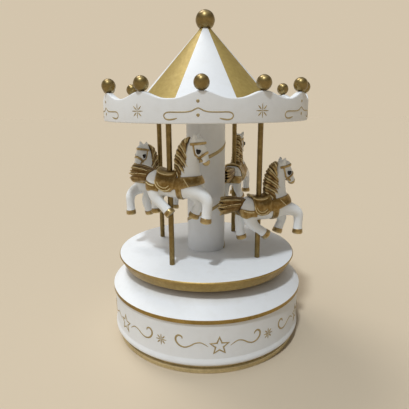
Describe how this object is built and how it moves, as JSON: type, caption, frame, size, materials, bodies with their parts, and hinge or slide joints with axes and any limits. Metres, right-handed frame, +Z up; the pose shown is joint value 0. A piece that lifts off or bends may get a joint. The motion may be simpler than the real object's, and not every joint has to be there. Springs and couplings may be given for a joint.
{
  "type": "carousel music box",
  "caption": "Carousel music box with horses on poles under a striped conical canopy, turning on a spring movement in a drum base.",
  "frame": {"origin": "centre of the foot ring on the table", "axes": "+Z up along the spindle, -Y towards the picture's viewer, +X to the viewer's right"},
  "size_m": [0.1128, 0.1128, 0.1782],
  "materials": {
    "drum_paint": "white lacquer with a gold edge under the shoulder, and gold stars, starbursts and scrolls",
    "platform_paint": "white lacquer on top, antique gold on the bevelled edge",
    "column_paint": "white lacquer",
    "deck_paint": "white lacquer",
    "rim_paint": "white lacquer with fine gold brackets, dots and starbursts",
    "roof_paint": "white lacquer with gold stripes",
    "foot_gold": "antique gold paint",
    "bead_gold": "antique gold paint",
    "pole_gold": "lacquered brass tube colour, satin",
    "horse_resin": "white resin with antique gold mane, tack, tail and hooves",
    "bottom_board": "bare fibreboard",
    "movement_casting": "raw zinc casting",
    "spring_housing": "plated sheet steel",
    "spring_steel": "ground spring steel",
    "screw_steel": "bright zinc plate",
    "gear_brass": "machined brass",
    "nylon": "natural nylon"
  },
  "bodies": {
    "base": {"base_drum": "drum_paint", "foot_ring": "foot_gold", "bottom_plate": "bottom_board", "bottom_screws": "screw_steel", "spindle_bush": "gear_brass", "thrust_washer": "nylon", "bedplate": "movement_casting", "movement_screws": "screw_steel", "spring_barrel": "spring_housing", "barrel_pillars": "screw_steel", "barrel_screws": "screw_steel", "mainspring": "spring_steel", "comb": "spring_steel", "comb_screws": "screw_steel", "cylinder_bracket": "movement_casting", "bracket_screws": "screw_steel", "governor_frame": "spring_housing", "governor_screws": "screw_steel"},
    "carousel": {"platform": "platform_paint", "platform_hub": "gear_brass", "hub_screws": "screw_steel", "winding_arbor": "screw_steel", "ratchet_wheel": "spring_steel", "centre_column": "column_paint", "canopy_deck": "deck_paint", "canopy_rim": "rim_paint", "roof_cone": "roof_paint", "finial_ball": "bead_gold", "rim_balls": "bead_gold", "pole_back_right": "pole_gold", "pole_back_left": "pole_gold", "pole_front_left": "pole_gold", "pole_front_right": "pole_gold", "horse_back_right": "horse_resin", "horse_back_left": "horse_resin", "horse_front_left": "horse_resin", "horse_front_right": "horse_resin"},
    "great_wheel": {"great_wheel": "gear_brass", "click_pin": "screw_steel"},
    "click": {"click": "spring_steel"},
    "cylinder": {"tune_cylinder": "gear_brass", "cylinder_arbor": "screw_steel", "cylinder_pinion": "gear_brass", "cylinder_wheel": "gear_brass"},
    "governor": {"governor_arbor": "screw_steel", "governor_pinion": "gear_brass", "governor_wheel": "nylon"},
    "worm": {"worm_spindle": "screw_steel", "fan": "nylon"}
  },
  "joints": [
    {"name": "carousel_spin", "type": "hinge", "parent": "base", "child": "carousel", "pos_m": [0, 0, 0.04], "axis": [0, 0, 1], "continuous": true},
    {"name": "great_wheel_spin", "type": "hinge", "parent": "base", "child": "great_wheel", "pos_m": [0, 0, 0.03], "axis": [0, 0, 1], "continuous": true},
    {"name": "cylinder_spin", "type": "hinge", "parent": "base", "child": "cylinder", "pos_m": [0.0249, 0, 0.0242], "axis": [1, 0, 0], "continuous": true},
    {"name": "governor_spin", "type": "hinge", "parent": "base", "child": "governor", "pos_m": [0.0331, 0.0096, 0.0242], "axis": [1, 0, 0], "continuous": true},
    {"name": "worm_spin", "type": "hinge", "parent": "base", "child": "worm", "pos_m": [0.0331, 0.0156, 0.0242], "axis": [0, 0, 1], "continuous": true},
    {"name": "click_pivot", "type": "hinge", "parent": "great_wheel", "child": "click", "pos_m": [0.00622, 0.00691, 0.029], "axis": [0, 0, 1], "range_deg": [0, 12], "stiffness_Nm_per_rad": 0.000002}
  ],
  "couplings": [
    {"joint": "great_wheel_spin", "follows": "carousel_spin", "ratio": 1},
    {"joint": "cylinder_spin", "follows": "carousel_spin", "ratio": -3},
    {"joint": "governor_spin", "follows": "carousel_spin", "ratio": 9},
    {"joint": "worm_spin", "follows": "carousel_spin", "ratio": -270}
  ]
}
